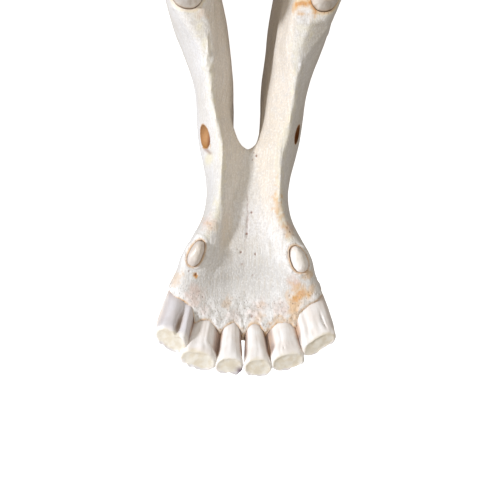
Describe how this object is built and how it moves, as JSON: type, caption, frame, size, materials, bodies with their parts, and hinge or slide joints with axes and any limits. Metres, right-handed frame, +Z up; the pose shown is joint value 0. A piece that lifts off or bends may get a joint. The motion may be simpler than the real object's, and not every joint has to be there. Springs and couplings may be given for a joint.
{
  "type": "zebra lower jaw",
  "caption": "Dry lower jaw of a zebra: splayed incisors and small canines at the front, rows of ridged cheek teeth, tall rami with coronoid and condyle at the back.",
  "frame": {"origin": "on the plane that the jaw stands on, midway between its two halves and midway along it", "axes": "+Z up from the lower border to the teeth, -Y towards the incisors, +X towards the animal's left side"},
  "size_m": [0.181, 0.3974, 0.2508],
  "materials": {
    "bone": "dry cream bone, stained ochre round the sockets",
    "front_teeth": "worn pale enamel with a slight sheen",
    "cheek_teeth": "grey-beige cement with pale enamel folds"
  },
  "bodies": {
    "root": {"mandible": "bone", "incisor_1_left": "front_teeth", "incisor_1_right": "front_teeth", "incisor_2_left": "front_teeth", "incisor_2_right": "front_teeth", "incisor_3_left": "front_teeth", "incisor_3_right": "front_teeth", "canine_left": "front_teeth", "canine_right": "front_teeth", "premolar_2_left": "cheek_teeth", "premolar_2_right": "cheek_teeth", "premolar_3_left": "cheek_teeth", "premolar_3_right": "cheek_teeth", "premolar_4_left": "cheek_teeth", "premolar_4_right": "cheek_teeth", "molar_1_left": "cheek_teeth", "molar_1_right": "cheek_teeth", "molar_2_left": "cheek_teeth", "molar_2_right": "cheek_teeth", "molar_3_left": "cheek_teeth", "molar_3_right": "cheek_teeth"}
  },
  "joints": []
}
